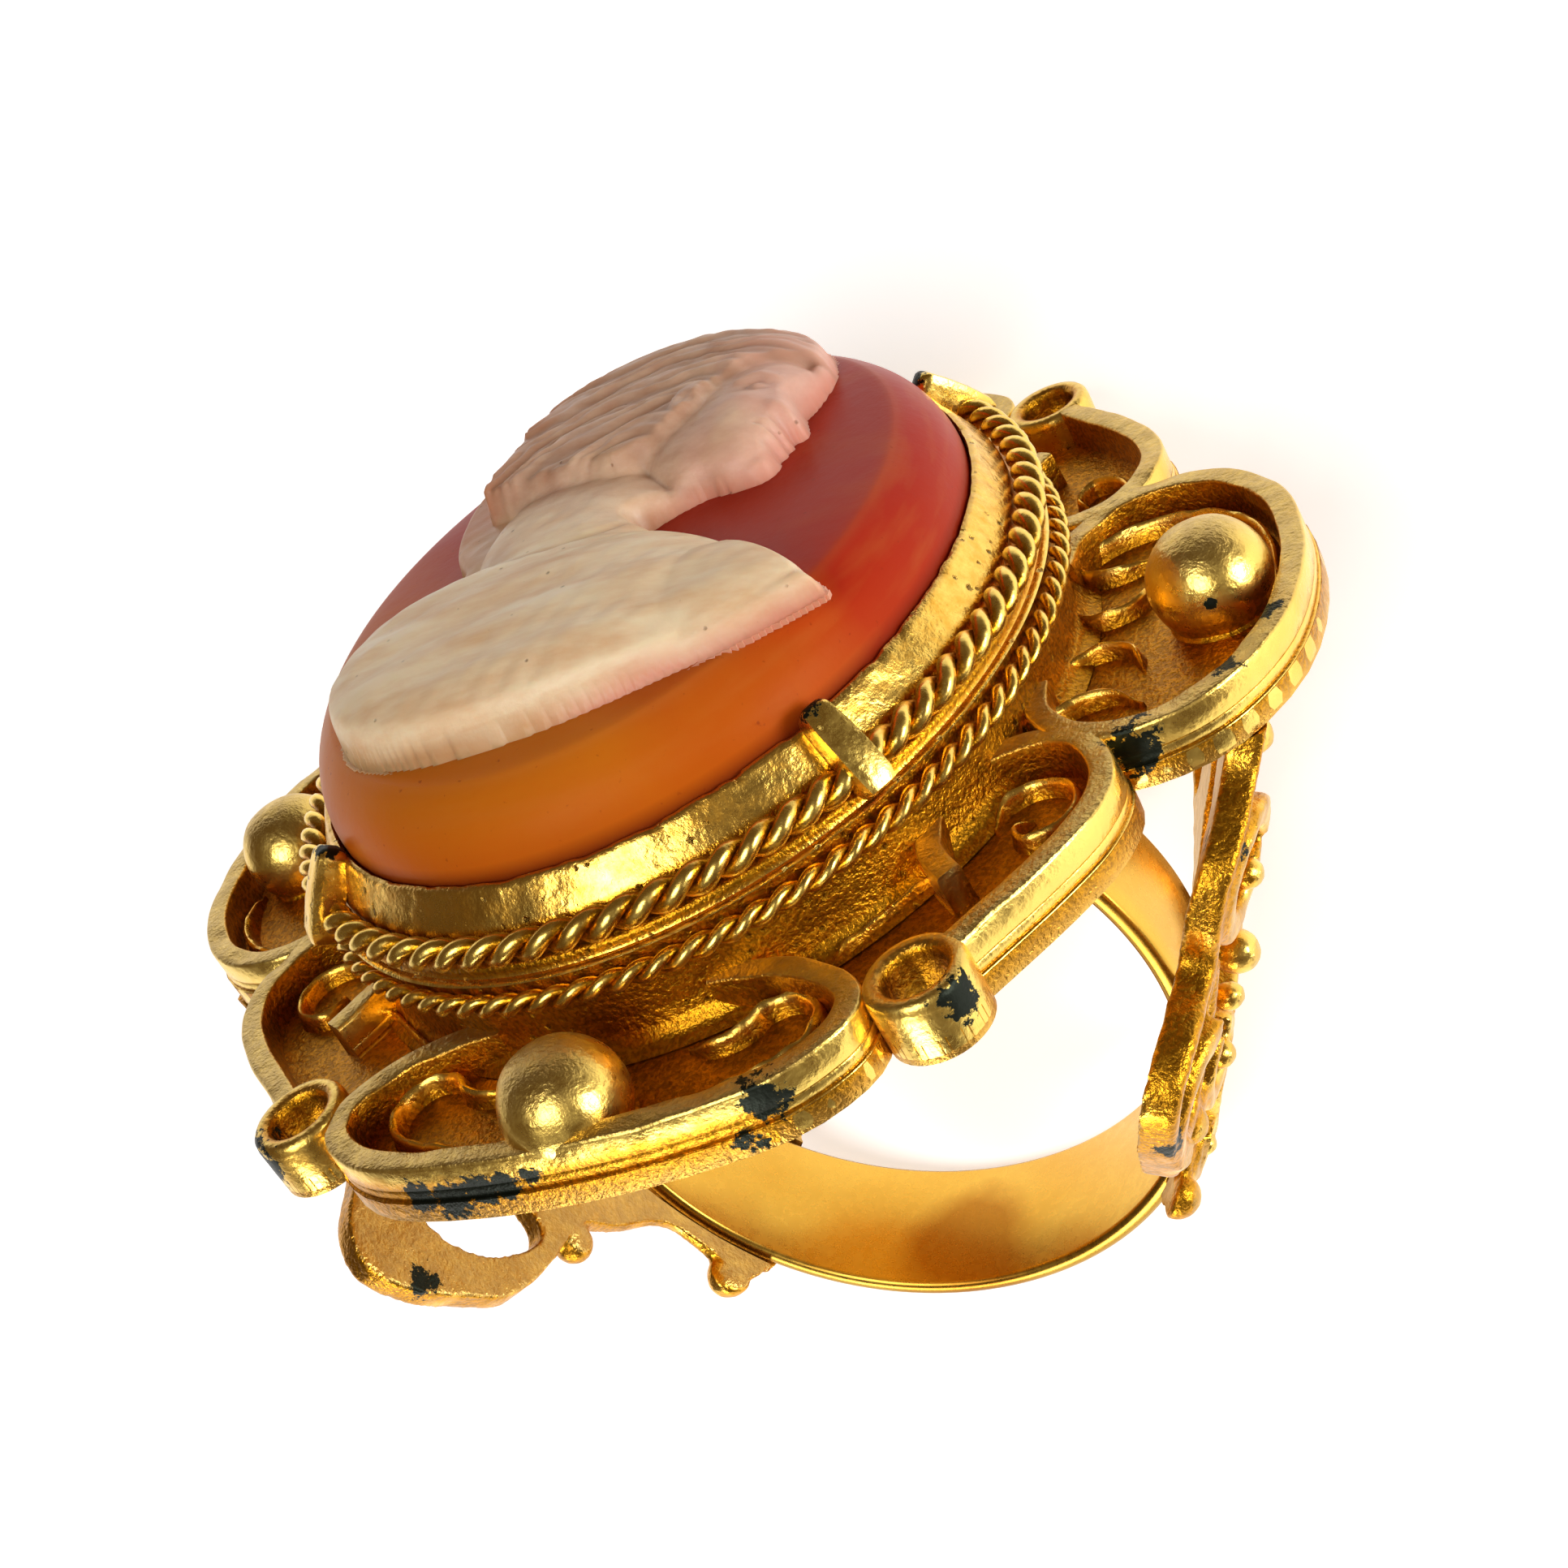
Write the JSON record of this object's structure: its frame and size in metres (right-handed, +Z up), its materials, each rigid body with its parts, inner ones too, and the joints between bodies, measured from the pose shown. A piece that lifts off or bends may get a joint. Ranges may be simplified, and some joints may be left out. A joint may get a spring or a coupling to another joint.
{
  "type": "cameo ring",
  "caption": "Finger ring with an oval carved cameo in a claw-set collar edged with twisted wire, on a lobed scrollwork head with pierced scroll shoulders and a plain band.",
  "frame": {"origin": "middle of the ring's footprint on the table, at table height, with the ring lying on its side", "axes": "+X across the head, from one side lobe to the other; +Y away from the carved stone, towards the back of the band; +Z up. The head faces -Y and leans back, and the finger's axis lies in the YZ plane"},
  "size_m": [0.0342, 0.0303, 0.028],
  "materials": {
    "polished_gold": "polished",
    "cast_gold": "satin",
    "red_stone": "polished",
    "pale_stone": "satin"
  },
  "bodies": {
    "root": {"finger_band": "polished_gold", "left_shoulder": "cast_gold", "right_shoulder": "cast_gold", "scroll_frame": "cast_gold", "bezel_cup": "cast_gold", "lower_twisted_wire": "cast_gold", "upper_twisted_wire": "cast_gold", "cameo_ground": "red_stone", "cameo_relief": "pale_stone"}
  },
  "joints": []
}
